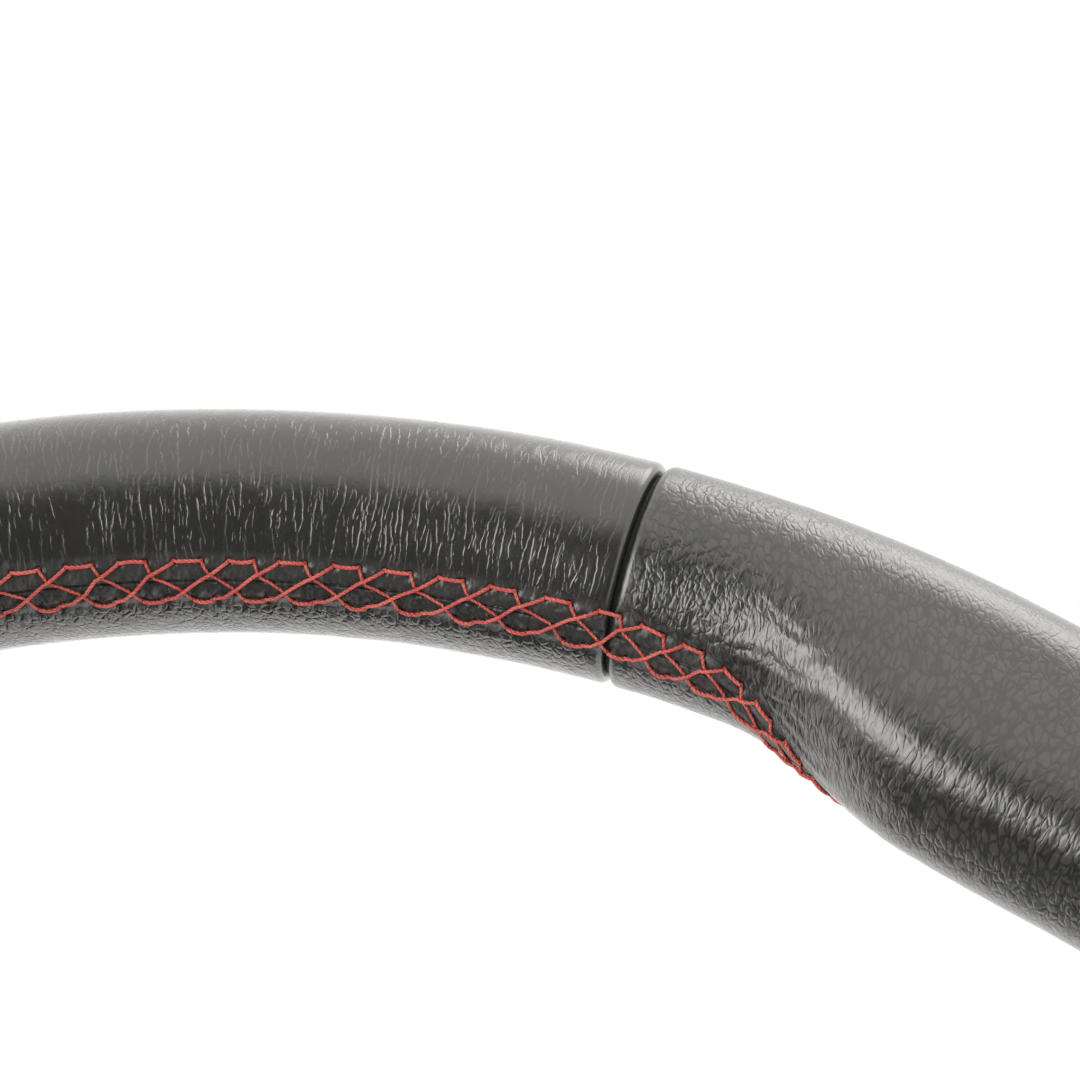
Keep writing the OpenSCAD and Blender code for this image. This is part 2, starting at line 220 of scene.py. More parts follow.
# ----------------------------------------------------------------------------
# Wheel adaptor and the rivets and ring tube of the same bright alloy.  The
# adaptor is turned from bar, then drilled for the balls and the bolts.
# ----------------------------------------------------------------------------
alloy_dark, alloy_light = (0.30, 0.31, 0.32, 1), (0.46, 0.47, 0.48, 1)
turned_metal("turned_alloy", alloy_dark, alloy_light, 0.24).dress(nodes["wheel_adaptor"])
drawn_tube = Finish("drawn_alloy")
tube_smudge = drawn_tube.noise(drawn_tube.place(), 0.2, 4.0)
drawn_tube.give(Base_Color=drawn_tube.blend(tube_smudge, alloy_dark, alloy_light),
                Metallic=1.0, Roughness=tube_smudge * 0.3 + 0.2)
drawn_tube.relief(drawn_tube.noise(drawn_tube.place(), 1.6, 3.0) * 0.02)
drawn_tube.dress(nodes["spoke_rivets"], nodes["rim_armature"])

# ----------------------------------------------------------------------------
# Locking balls.  Six bearing balls of hardened steel, polished, with the
# faint tracks that the ridge has rolled into them.
# ----------------------------------------------------------------------------
ball_steel = Finish("polished_steel")
track = ball_steel.noise(ball_steel.place(), 0.9, 4.0, 0.65)
ball_steel.give(Base_Color=ball_steel.blend(track, (0.42, 0.42, 0.44, 1), (0.56, 0.56, 0.57, 1)),
                Metallic=1.0, Roughness=track.rise(0.45, 0.75) * 0.16 + 0.06)
ball_steel.relief(track * 0.004)
ball_steel.dress(*(nodes["locking_ball_%d" % k] for k in range(1, 7)))

# ----------------------------------------------------------------------------
# Release collar.  Turned alloy sleeve, anodised red, paler where fingers
# have pulled it.  It slides on the adaptor and holds the balls in.
# ----------------------------------------------------------------------------
anodised = Finish("red_anodised_alloy")
x, y, z = anodised.parts(anodised.place())
collar_rings = anodised.noise(anodised.vector((x * x + z * z) ** 0.5 * 3.0, y * 3.0), 1.0, 3.0, 0.7)
handled = anodised.noise(anodised.place(), 0.14, 4.0).rise(0.45, 0.72)
anodised.give(Base_Color=anodised.blend((collar_rings * 0.5 + handled * 0.6).held(),
                                        (0.20, 0.006, 0.008, 1), (0.36, 0.022, 0.02, 1)),
              Metallic=1.0, Roughness=collar_rings * 0.12 + handled * 0.14 + 0.2)
anodised.relief(collar_rings * 0.014)
anodised.dress(nodes["release_collar"])
nodes["release_collar"].visible_glossy = False  # it lights no red patch on the rim

# ----------------------------------------------------------------------------
# Collar spring and circlip.  The spring is six turns of 1.2 mm music wire
# with closed ends, and the clip is stamped from spring strip.
# ----------------------------------------------------------------------------
MM = 0.001
spring_steel = Finish("spring_steel")
wire_tone = spring_steel.noise(spring_steel.place(), 0.5, 4.0)
spring_steel.give(Base_Color=spring_steel.blend(wire_tone, (0.34, 0.34, 0.36, 1), (0.62, 0.62, 0.64, 1)),
                  Metallic=1.0, Roughness=wire_tone * 0.2 + 0.18)
spring_steel.relief(spring_steel.noise(spring_steel.place(), 5.0, 2.0) * 0.006)
spring_steel.dress(nodes["collar_circlip"])


def take_up(piece):
    """Makes a piece the active one and the only one selected."""
    bpy.ops.object.select_all(action="DESELECT")
    piece.select_set(True)
    bpy.context.view_layer.objects.active = piece


def wound_spring(name, node, wire, turns):
    """A compression spring with one dead turn at each end, in the place of a node."""
    low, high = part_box(node)
    coil_r = (high.x - low.x) / 2 - wire
    start, finish = -high.y + wire, -low.y - wire
    per_turn = 40
    curve = bpy.data.curves.new(name, "CURVE")
    curve.dimensions, curve.bevel_depth, curve.bevel_resolution = "3D", wire, 2
    curve.use_fill_caps = True
    line = curve.splines.new("POLY")
    line.points.add(turns * per_turn)
    for k, point in enumerate(line.points):
        turn = k / per_turn
        dead = min(turn, 1) + max(turn - turns + 1, 0)
        live = min(max(turn - 1, 0), turns - 2) / (turns - 2)
        station = start + 2 * wire * dead + (finish - start - 4 * wire) * live
        angle = 2 * math.pi * turn
        point.co = (coil_r * math.cos(angle), -station, coil_r * math.sin(angle), 1)
    spring = bpy.data.objects.new(name, curve)
    bpy.context.scene.collection.objects.link(spring)
    take_up(spring)
    bpy.ops.object.convert(target="MESH")
    spring = bpy.context.object
    bpy.ops.object.shade_smooth_by_angle(angle=math.radians(50))
    spring.name = spring.data.name = name
    spring_steel.dress(spring)
    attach(spring, "wheel")
    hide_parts(node)
    return spring


collar_coil = wound_spring("collar_return_spring", "collar_spring", 0.6 * MM, 6)
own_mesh(collar_coil)

# ----------------------------------------------------------------------------
# Wheel bolts.  Six M5 countersunk steel screws with a black oxide finish,
# rubbed brighter in places, through trim ring, spokes and adaptor flange.
# ----------------------------------------------------------------------------
black_oxide = Finish("black_oxide_steel")
oxide = black_oxide.noise(black_oxide.place(), 0.9, 5.0, 0.65)
rubbed = oxide.rise(0.55, 0.8)
black_oxide.give(Base_Color=black_oxide.blend(rubbed, (0.018, 0.018, 0.02, 1), (0.07, 0.068, 0.066, 1)),
                 Metallic=0.8, Roughness=oxide * 0.25 + 0.28)
black_oxide.relief(black_oxide.noise(black_oxide.place(), 3.0, 3.0) * 0.012)
black_oxide.dress(nodes["wheel_bolts"])

# ----------------------------------------------------------------------------
# Spokes and trim ring.  Aluminium plate, blanked, bent to the dish, bead
# blasted and anodised black.
# ----------------------------------------------------------------------------
blasted = Finish("black_anodised_alloy")
beads = blasted.noise(blasted.place(), 5.5, 2.0)
sheen = blasted.noise(blasted.place(), 0.06, 4.0)
blasted.give(Base_Color=blasted.blend((sheen * 0.7 + beads * 0.3).held(),
                                      (0.010, 0.010, 0.011, 1), (0.032, 0.032, 0.035, 1)),
             Metallic=0.6, Roughness=sheen * 0.14 + beads * 0.1 + 0.3)
blasted.relief(beads * 0.03)
blasted.dress(nodes["spoke_frame"], nodes["horn_trim_ring"])

# ----------------------------------------------------------------------------
# Rim foam.  Soft polyurethane moulded round the ring tube, with the thumb
# swellings of the grips.  The leather is glued on it.
# ----------------------------------------------------------------------------
rim_low, rim_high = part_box("rim_padding")
grip_r = 14.5                     # half the thickness of the covered rim
rim_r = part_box("leather_top")[1].z / MM - grip_r
rim_y = (rim_low.y + rim_high.y) / 2 / MM
top_half_angle = 30.0             # from the top to a panel joint, in degrees
lower_angle = 180 - top_half_angle
thumb_reach = 6.5                 # how far the thumb rest swells inward
thumb_edge = 0.8                  # how proud its edge stands
thumb_edge_side = 214             # section angle of that edge
foam_depth = 1.5                  # foam's skin below the leather's face
foam_steps, foam_sides = 288, 32


def ease(x):
    x = np.clip(x, 0.0, 1.0)
    return x * x * (3 - 2 * x)


def section_r(t, p):
    """Radius of the covered rim at ring angle t and section angle p, in degrees."""
    t = np.minimum(t, 360 - np.abs(t))
    reach = grip_r + thumb_reach * ease((t - 36) / 11) * (1 - ease((t - 47.5) / 20))
    flat = ease((t - 33) / 12) * (1 - ease((t - 62) / 14))
    c, s = np.cos(np.radians(p)), np.sin(np.radians(p))
    # the inner half is a superellipse, squarer toward the driver than behind
    n = 2 + np.where(s < 0, 0.9, 0.1) * flat
    c_in, s_in = np.maximum(np.abs(c), 1e-6), np.maximum(np.abs(s), 1e-6)
    swollen = ((c_in / reach) ** n + (s_in / grip_r) ** n) ** (-1 / n)
    swollen = swollen + thumb_edge * flat * np.exp(-((p - thumb_edge_side) / 15) ** 2)
    return np.where(c < 0, swollen, grip_r)


def plain_r(t, p):
    return np.full(np.broadcast(t, p).shape, grip_r)


def rim_place(t, p, r):
    """Places on the rim, in metres, at ring angle t, section angle p and section radius r."""
    t, p = np.radians(t), np.radians(p)
    radius = rim_r + r * np.cos(p)
    return MM * np.stack([radius * np.sin(t), rim_y + r * np.sin(p), radius * np.cos(t)], -1)


def flat_grid(name, columns, rows):
    """A flat grid piece, and the column and row of each of its vertices."""
    bpy.ops.object.select_all(action="DESELECT")
    bpy.ops.mesh.primitive_grid_add(x_subdivisions=columns - 1, y_subdivisions=rows - 1,
                                    size=1, calc_uvs=True)
    piece = bpy.context.object
    piece.name = piece.data.name = name
    flat = np.zeros(len(piece.data.vertices) * 3)
    piece.data.vertices.foreach_get("co", flat)
    flat = flat.reshape(-1, 3)
    i = np.rint((flat[:, 0] + 0.5) * (columns - 1)).astype(int)
    j = np.rint((flat[:, 1] + 0.5) * (rows - 1)).astype(int)
    return piece, i, j


def closed_up(piece):
    """Joins the edges that meet, closes the ends and turns the faces outward."""
    bpy.ops.object.mode_set(mode="EDIT")
    bpy.ops.mesh.select_all(action="SELECT")
    bpy.ops.mesh.remove_doubles(threshold=1e-6)
    bpy.ops.mesh.select_all(action="SELECT")
    bpy.ops.mesh.fill_holes(sides=0)
    bpy.ops.mesh.select_all(action="SELECT")
    bpy.ops.mesh.normals_make_consistent(inside=False)
    bpy.ops.object.mode_set(mode="OBJECT")
    bpy.ops.object.shade_smooth()


foam, ring, side = flat_grid("rim_foam", foam_steps + 1, foam_sides + 1)
ring_angle, side_angle = ring * 360 / foam_steps - 180, side * 360 / foam_sides
foam.data.vertices.foreach_set("co", rim_place(
    ring_angle, side_angle, section_r(np.abs(ring_angle), side_angle) - foam_depth).ravel())
closed_up(foam)
foam_skin = Finish("moulded_foam")
pores = foam_skin.cell_edge(foam_skin.place(), 1.1)
cloud = foam_skin.noise(foam_skin.place(), 0.3, 4.0)
foam_skin.give(Base_Color=foam_skin.blend(cloud, (0.012, 0.012, 0.013, 1), (0.028, 0.028, 0.03, 1)),
               Roughness=cloud * 0.1 + 0.8)
foam_skin.relief(pores.rise(0.0, 0.35) * 0.08)
foam_skin.dress(foam)
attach(foam, "wheel")
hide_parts("rim_padding")

# ----------------------------------------------------------------------------
# Leather panels.  Each is one strip of black cowhide, wrapped wet round the
# foam and glued.  Its long edges meet at the seam on the rim's inner side, and
# its ends are turned down into the groove between two panels.
# ----------------------------------------------------------------------------
seam_angle = 197.7                # section angle of the seam on a plain panel
row_w = 2.9                       # from the seam to a row of stitches
girth = 2 * math.pi * grip_r
per_degree = math.radians(rim_r)  # rim length of one degree, on its centre line
lip_r = 1.2                       # rounding of a turned end
groove_half = 0.22                # half of the gap between two turned ends
pitch = 360 / 140                 # one stitch of a plain panel, in degrees of the rim
grip_pitch = 5.65                 # one stitch along a grip's seam


def plain_seam(t):
    return np.full(np.shape(t), seam_angle)


def grip_seam(t):
    """Section angle of a grip's seam, which moves behind the rim past the joint."""
    turn_in = 4.7 * ease((t - top_half_angle) / 4)
    swing_back = 65 * ease((t - 33.8) / 12.5)
    return seam_angle - (turn_in + swing_back) * (1 - ease((t - 132) / 15))


class Hills:
    """Smooth random hills on a plane, from -1 to 1, with hills one unit across."""

    def __init__(self, seed):
        self.table = np.random.default_rng(seed).random((128, 128)) * 2 - 1

    def __call__(self, x, y):
        x0, y0 = np.floor(x).astype(int), np.floor(y).astype(int)
        fx, fy = ease(x - x0), ease(y - y0)
        a, b, c, d = x0 % 128, (x0 + 1) % 128, y0 % 128, (y0 + 1) % 128
        low = self.table[a, c] * (1 - fx) + self.table[b, c] * fx
        high = self.table[a, d] * (1 - fx) + self.table[b, d] * fx
        return low * (1 - fy) + high * fy


stitch_rng = np.random.default_rng(7)


def needle_holes(starts):
    """Ring angles where the runs of both rows start and end, a little uneven."""
    count = len(starts) - 1
    k, gap = np.arange(count), np.diff(starts)
    upper = starts[:-1] + stitch_rng.normal(0, 0.03, count) * gap
    drift = 0.30 + 0.10 * np.sin(k * 0.62 + 0.8) + stitch_rng.normal(0, 0.03, count)
    lower = starts[:-1] + drift * gap
    return {"upper": (upper, upper + (0.49 + stitch_rng.normal(0, 0.02, count)) * gap),
            "lower": (lower, lower + (0.43 + stitch_rng.normal(0, 0.02, count)) * gap)}


def joined(first, second):
    """The holes of one seam, followed by those of another."""
    return {row: tuple(np.append(a, b) for a, b in zip(first[row], second[row])) for row in first}


def some(holes, part):
    """A part of each row's holes, given as a slice."""
    return {row: tuple(angles[part] for angles in pair) for row, pair in holes.items()}


def graded(edges, steps):
    """Stations from the first edge to the last, with a step for each interval."""
    parts = [np.linspace(a, b, max(2, round((b - a) / step) + 1))[:-1]
             for a, b, step in zip(edges, edges[1:], steps)]
    return np.concatenate(parts + [[edges[-1]]])


def leather_panel(name, t1, t2, radius, seam, holes, changes, steps, seed):
    """A strip of leather wrapped round the rim from ring angle t1 to t2.

    The grid's step along the rim changes at the given distances from t1.
    """
    length = (t2 - t1) * per_degree - 2 * groove_half
    along = graded([0, lip_r, 4, *changes, length - 4, length - lip_r, length],
                   [0.15, 0.3, *steps, 0.3, 0.15])
    tucked = np.array([3.2, 2.2])                  # how deep the turned ends go
    drop = np.concatenate([tucked, np.zeros(len(along)), tucked[::-1]])
    along = np.concatenate([np.zeros(2), along, np.full(2, length)])
    end = np.minimum(along, length - along)
    curl = np.clip(lip_r - end, 0, lip_r)
    drop += np.where(drop > 0, 0, lip_r - np.sqrt(np.maximum(lip_r ** 2 - curl ** 2, 0)))
    around = graded([0, 0.5, 4.5, 24, girth - 24, girth - 4.5, girth - 0.5, girth],
                    [0.1, 0.23, 0.4, 0.75, 0.4, 0.23, 0.1])
    strip, i, j = flat_grid(name, len(along), len(around))
    s, v, end, drop = along[i], around[j], end[i], drop[i]
    t = t1 + (s + groove_half) / per_degree
    p = seam(t) + np.degrees(v / grip_r)
    w = np.where(v < girth / 2, v, v - girth)      # signed distance from the seam
    near = np.abs(w)
    hills, ribs, folds = Hills(seed), Hills(seed + 1), Hills(seed + 2)
    # broad unevenness and faint ribs round the grip, away from the seam and the ends
    free = ease((near - 2.6) / 2.5) * ease((end - 1.0) / 4.0)
    relief = free * (0.07 * hills(s / 17, v / 11) + 0.03 * hills(s / 6 + 9, v / 7))
    bend = 1.4 * folds(s / 8, v / 7)
    ridge = 1 - np.abs(ribs((s + bend) / 1.5, v / 5.5))
    relief += free * 0.035 * (ridge ** 3 - 0.3)
    # the swollen band between the rows, and the two edges that go down at the seam
    band = np.exp(-(near / 2.6) ** 6)
    relief -= 0.12 * np.exp(-(near / 3.4) ** 4)
    relief -= 0.45 * np.exp(-(near / 0.16) ** 1.5)
    relief += 0.16 * band * (near / 1.4).clip(0, 1) * (1 + 0.9 * folds(s / 0.9, w / 1.6 + 40))
    # needle holes, and the pull of the thread round them
    for side, row in ((1, "upper"), (-1, "lower")):
        for hole in np.concatenate(holes[row]):
            close = np.abs(t - hole) < 1.0
            ds = (t[close] - hole) * per_degree
            beyond = w[close] * side - row_w
            relief[close] -= 0.5 * np.exp(-(ds ** 2 + beyond ** 2) / 0.4 ** 2)
            outside, inside = np.clip(beyond, 0, None), np.clip(-beyond, 0, None)
            relief[close] -= 0.14 * np.exp(-(ds / 0.45) ** 2 - (outside / 1.5) ** 2 - (inside / 0.8) ** 2)
    if seam is grip_seam:
        # folds where the leather bends from the swelling into the neck
        neck = np.exp(-((t - 40) / 5.5) ** 2) * ease((v - 2.5) / 3) * (1 - ease((v - 13) / 7))
        slant = s * 0.55 - v * 0.85 + 2.2 * hills(s / 8 + 3, v / 8)
        relief += 0.07 * neck * np.sin(slant * 2 * math.pi / 1.9 + 3 * ribs(s / 5, v / 5))
        crease = (v - 6.5) - 0.75 * (s - 24) + 0.8 * folds(s / 3, v / 3)
        relief -= 0.3 * np.exp(-(crease / 0.35) ** 2 - ((s - 26) / 3.4) ** 2)
        relief += 0.12 * np.exp(-((crease - 0.9) / 0.7) ** 2 - ((s - 26) / 4) ** 2)
    place = rim_place(t, p, radius(t, p) + relief * ease(end + 0.1) - drop)
    mesh = strip.data
    mesh.vertices.foreach_set("co", place.ravel())
    corner = np.zeros(len(mesh.loops), dtype=int)
    mesh.loops.foreach_get("vertex_index", corner)
    mesh.uv_layers[0].name = "hide"
    mesh.uv_layers[0].data.foreach_set("uv", np.stack([s[corner], v[corner]], -1).ravel() / 100)
    # how deep the grain is: shallower on the stretched pad of the swelling and at the ends
    front = ease((v - 12) / 8) * (1 - ease((v - 50) / 12))
    pulled = ease((t - 37) / 8) * (1 - ease((t - 80) / 20)) * front if seam is grip_seam else 0 * t
    depth = (1 - 0.3 * pulled) * (0.25 + 0.75 * ease((end - 1.0) / 2.5))
    mesh.attributes.new("grain_depth", "FLOAT", "POINT").data.foreach_set("value", depth)
    closed_up(strip)
    return strip


top_starts = 1.07 + pitch * np.arange(-11, 12)   # the stitches of the top seam
path_angle = np.linspace(top_starts[-1], lower_angle, 2000)
swing = np.radians(np.gradient(grip_seam(path_angle), path_angle)) * grip_r
sewn = np.cumsum(np.hypot(math.radians(rim_r - grip_r), swing)) * (path_angle[1] - path_angle[0])
grip_starts = np.interp(np.arange(0, sewn[-1] - 2.5, grip_pitch), sewn, path_angle)
top_holes = needle_holes(top_starts)
grip_holes = needle_holes(grip_starts)
bottom_holes = needle_holes(np.arange(lower_angle + 0.9, 359.2 - lower_angle, pitch))
joint_holes = joined(some(top_holes, slice(-3, None)), grip_holes)

top_cover = leather_panel("top_cover", -top_half_angle, top_half_angle, plain_r, plain_seam,
                          joined(top_holes, some(grip_holes, slice(1))), [], [0.42], 11)
bottom_cover = leather_panel("bottom_cover", lower_angle, 360 - lower_angle, plain_r, plain_seam,
                             bottom_holes, [], [0.6], 37)
grip_cover = leather_panel("grip_cover_right", top_half_angle, lower_angle, section_r, grip_seam,
                           joint_holes, [85], [0.42, 0.95], 23)


def mirrored(source, name):
    """A copy for the other half of the wheel, turned right side out again."""
    take_up(source)
    bpy.ops.object.duplicate()
    copy = bpy.context.object
    copy.name = copy.data.name = name
    bpy.ops.object.mode_set(mode="EDIT")
    bpy.ops.mesh.select_all(action="SELECT")
    bpy.ops.transform.resize(value=(-1, 1, 1), center_override=(0, 0, 0))
    bpy.ops.mesh.normals_make_consistent(inside=False)
    bpy.ops.object.mode_set(mode="OBJECT")
    return copy


grip_cover_left = mirrored(grip_cover, "grip_cover_left")


def cowhide(name, dome, groove, crinkle, pebbled, roughness, crease_wear_and_glint, tone):
    """Dyed cowhide: short creases drawn round the grip in front, even pebbles behind.

    The heights of a pebble's dome, a crease's groove and the broad crinkles are in
    millimetres; pebbled says how much of the front has pebbles, tone how light its dye
    is, and the crease number how pale its creases are: worn dye and a painted highlight.
    """
    hide = Finish(name)
    s, v, _ = hide.parts(hide.node("ShaderNodeUVMap", {"uv_map": "hide"}))
    s, v = s * 100.0, v * 100.0
    depth = hide.node("ShaderNodeAttribute", {"attribute_name": "grain_depth"}, output=2)

    def cloud(along, round_rim, layer, detail=1.0):
        """Noise, with so many waves to a millimetre along the rim and round it."""
        return hide.noise(hide.vector(s * along, v * round_rim, layer), detail=detail)

    def strokes(across, down, layer, width):
        """Fine lines round the rim: the places where a noise crosses its middle value."""
        beside_by = 0.1
        down_v = v * down + s * 0.06
        here = hide.noise(hide.vector(drawn_s * across, down_v, layer), detail=0.0)
        beside = hide.noise(hide.vector((drawn_s + beside_by) * across, down_v, layer), detail=0.0)
        slope = abs(beside - here) * (1.0 / beside_by)
        return (1.0 - abs(here - 0.5) / (slope + 0.05) / width).held() * slope.rise(0.08, 0.24)

    def dyed(*dye):
        return (*(part * tone for part in dye), 1)

    from_seam = v.least(girth - v)
    sewn_band = 1.0 - from_seam.rise(2.2, 3.4)
    open_hide = 1.0 - sewn_band
    round_share = v.rise(girth - 22, girth - 8).most(pebbled)
    drawn_s = s + cloud(0.2, 0.2, 0.0) * 0.8 + cloud(1.0, 0.8, 21.0) * 0.4

    patches = cloud(0.16, 0.2, 7.0, 3.0)
    lively = patches.rise(0.38, 0.62)
    gate = cloud(0.8, 0.55, 17.0, 2.0).rise(0.42, 0.56)
    long_line = strokes(0.74, 0.12, 3.0, 0.13) * (gate * 0.8 + 0.2)
    short_line = strokes(1.0, 0.18, 8.0, 0.11) * (1.0 - gate)
    lines = (long_line + short_line * 0.7) * (1.0 - round_share) * (lively * 0.5 + 0.6)

    bend_s, bend_v = cloud(0.85, 0.7, 9.0) * 1.1, cloud(0.85, 0.7, 29.0) * 1.1
    pebble = hide.cell_edge(hide.vector((s + bend_s + v * 0.25) * 0.95, (v + bend_v) * 0.74, 4.0))
    valley = 1.0 - pebble.rise(0.0, 0.24)
    pebbles = (pebble.least(0.35) - valley * 0.6) * round_share

    crinkles = hide.noise(hide.vector(drawn_s * 0.85, v * 0.26, 2.0), detail=1.0)
    pores = cloud(3.5, 3.0, 5.0, 2.0)
    hide.relief(depth * (pebbles * dome - lines * groove + crinkles * crinkle) * open_hide
                + cloud(0.9, 0.7, 12.0) * sewn_band * 0.28 + pores * 0.009)

    tint = hide.blend(patches, dyed(0.0095, 0.0095, 0.0088), dyed(0.0155, 0.0152, 0.0136))
    # painted shade: the pebble valleys darkened towards black, where shade falls in them
    tint = hide.blend((valley * round_share.rise(0.0, 0.5) * 0.9).held(), tint, (0.003, 0.003, 0.003, 1))
    drawn = (lines * open_hide * depth).held()
    dull_edge = (1.0 - from_seam.rise(3.2, 4.4)) * 0.2
    # paler crease lines: worn dye and a painted highlight of the glinting crease edges
    hide.give(Base_Color=hide.blend(drawn * crease_wear_and_glint, tint, (0.085, 0.084, 0.078, 1)),
              Roughness=(pores * 0.1 + drawn * 0.1 + dull_edge + roughness).held(),
              Specular_IOR_Level=0.8)
    return hide


fine_hide = cowhide("black_cowhide_fine", dome=0.075, groove=0.045, crinkle=0.055,
                    pebbled=0.10, roughness=0.19, crease_wear_and_glint=0.42, tone=1.0)
soft_hide = cowhide("black_cowhide_soft", dome=0.085, groove=0.06, crinkle=0.11,
                    pebbled=0.5, roughness=0.25, crease_wear_and_glint=0.25, tone=1.5)
for piece, hide, node, slot in ((top_cover, fine_hide, "leather_top", "top_leather"),
                                (bottom_cover, fine_hide, "leather_bottom", "top_leather"),
                                (grip_cover, soft_hide, "leather_grip_right", "grip_leather"),
                                (grip_cover_left, soft_hide, "leather_grip_left", "grip_leather")):
    hide.dress(piece)
    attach(piece, "wheel")
    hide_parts(node)

# ----------------------------------------------------------------------------
# Seam threads.  Waxed red polyester, 0.6 mm thick, sewn by hand with two
# needles in a crossed stitch: short runs along both edges of the leather, and
# long threads across the seam that hook round each other in pairs.
# ----------------------------------------------------------------------------
run_r, falling_r, rising_r = 0.26, 0.205, 0.235   # half thickness of the thread, as it is pulled
left_end = -28.5                                  # the top seam's first stitch, in degrees
spoke_half = 8                                    # no stitches over a spoke, in degrees


def crossed_stitches(holes, first, last, spoke=None):
    """Paths of the thread as [ring angle, distance from the seam, height], with its thickness."""
    rng = np.random.default_rng(5)
    up0, up1 = holes["upper"]
    low0, low1 = holes["lower"]
    paths = []

    def add(thick, *points):
        angles = [point[0] for point in points]
        over_spoke = spoke and abs(angles[0] - spoke) < spoke_half
        if first < max(angles) <= last and min(angles) > left_end and not over_spoke:
            paths.append((points, thick))

    for row, starts, ends in ((row_w, up0, up1), (-row_w, low0, low1)):
        for a, b in zip(starts, ends):
            bow = rng.normal(0, 0.1) + (0.05 if row > 0 else -0.12)
            span = b - a
            add(run_r,
                (a - 0.02, row, -0.5),
                (a + 0.1 * span, row, 0.1),
                (a + 0.3 * span, row + bow * 0.7, 0.2),
                (a + 0.55 * span, row + bow, 0.22),
                (a + 0.8 * span, row + bow * 0.6, 0.16),
                (b - 0.06 * span, row, 0.06),
                (b + 0.02, row, -0.5))
    for k in range(len(up0) - 2):
        high = 0.41 * row_w + rng.normal(0, 0.2)
        deep = -0.34 * row_w + rng.normal(0, 0.25)
        a, b = up1[k], low0[k + 1]
        knot_1, knot_2 = a + 0.13 * (b - a), a + 0.80 * (b - a)
        c, d = low1[k], up0[k + 2]
        next_knot = up1[k + 1] + 0.13 * (low0[k + 2] - up1[k + 1])
        step = 0.07 * pitch
        # the falling thread, held under the rising ones at both knots
        add(falling_r,
            (a, row_w, -0.5),
            (a + 0.03, row_w - 0.25, 0.05),
            (knot_1 - 0.4 * step, high + 0.45, 0.2),
            (knot_1 + 0.6 * step, high - 0.35, 0.1),
            (knot_1 * 0.62 + knot_2 * 0.38, high * 0.5 + deep * 0.3, 0.0),
            (knot_1 * 0.3 + knot_2 * 0.7, high * 0.2 + deep * 0.62, 0.05),
            (knot_2 - 0.8 * step, deep + 0.3, 0.14),
            (knot_2 + 0.5 * step, deep - 0.4, 0.18),
            (b - 0.04, -row_w + 0.3, 0.08),
            (b, -row_w, -0.5))
        # the rising thread, over both of them
        add(rising_r,
            (c - 0.04, -row_w, -0.45),
            (c, -row_w + 0.35, 0.2),
            (c * 0.5 + knot_2 * 0.5, -row_w * 0.5 + deep * 0.5 - 0.15, 0.35),
            (knot_2, deep, 0.52),
            (knot_2 + step, deep + 0.32, 0.42),
            (knot_2 * 0.5 + next_knot * 0.5, (deep + high) / 2, 0.28),
            (next_knot - step, high - 0.25, 0.42),
            (next_knot, high, 0.52),
            (next_knot * 0.5 + d * 0.5, high * 0.5 + row_w * 0.5 - 0.1, 0.35),
            (d - 0.05, row_w - 0.2, 0.15),
            (d, row_w, -0.45))
    return paths


def sewn_thread(name, paths, radius, seam):
    """The threads of one panel as one piece of round, closed strands."""
    sides = 6
    turns = np.arange(sides) * 2 * math.pi / sides
    points, faces, strand = [], [], []
    for path, thick in paths:
        t, w, h = np.array(path, float).T
        p = seam(t) + np.degrees(w / grip_r)
        line = rim_place(t, p, radius(t, p) + h) / MM
        up = rim_place(t, p, radius(t, p) + h + 1) / MM - line
        ahead = np.gradient(line, axis=0)
        across = np.cross(ahead, up)
        across /= np.linalg.norm(across, axis=1, keepdims=True)
        up = np.cross(across, ahead)
        up /= np.linalg.norm(up, axis=1, keepdims=True)
        base = len(points)
        lengths = np.linalg.norm(np.diff(line, axis=0), axis=1)
        walked = np.concatenate([[0], np.cumsum(lengths)]) + 1.7 * base
        for centre, x_axis, y_axis in zip(line, across, up):
            points += [MM * (centre + thick * (math.cos(a) * x_axis + math.sin(a) * y_axis))
                       for a in turns]
        for k in range(len(line) - 1):
            a, b = base + k * sides, base + (k + 1) * sides
            for q in range(sides):
                n = (q + 1) % sides
                faces.append((a + q, a + n, b + n, b + q))
                strand += [(walked[k], q / sides), (walked[k], (q + 1) / sides),
                           (walked[k + 1], (q + 1) / sides), (walked[k + 1], q / sides)]
        for ring, order in ((0, range(sides - 1, -1, -1)), (len(line) - 1, range(sides))):
            faces.append([base + ring * sides + q for q in order])
            strand += [(walked[ring], q / sides) for q in order]
    mesh = bpy.data.meshes.new(name)
    mesh.from_pydata(points, [], faces)
    mesh.uv_layers.new(name="strand").data.foreach_set("uv", np.array(strand).ravel())
    piece = bpy.data.objects.new(name, mesh)
    bpy.context.scene.collection.objects.link(piece)
    take_up(piece)
    bpy.ops.object.mode_set(mode="EDIT")
    bpy.ops.mesh.select_all(action="SELECT")
    bpy.ops.mesh.normals_make_consistent(inside=False)
    bpy.ops.object.mode_set(mode="OBJECT")
    bpy.ops.object.shade_smooth()
    return piece


red_thread = Finish("waxed_red_thread")
walked, turn, _ = red_thread.parts(red_thread.node("ShaderNodeUVMap", {"uv_map": "strand"}))
twist = ((walked * 1.5 + turn * 2.0) * (2 * math.pi)).wave() * 0.5 + 0.5
fuzz = red_thread.noise(red_thread.place(), 6.0, 3.0)
faded = red_thread.noise(red_thread.place(), 0.45, 2.0).rise(0.35, 0.7)
red = red_thread.blend(faded, (0.31, 0.032, 0.024, 1), (0.42, 0.078, 0.056, 1))
# painted shade: deep red in the grooves between the twisted plies
red = red_thread.blend((1.0 - twist) * 0.55, red, (0.20, 0.01, 0.01, 1))
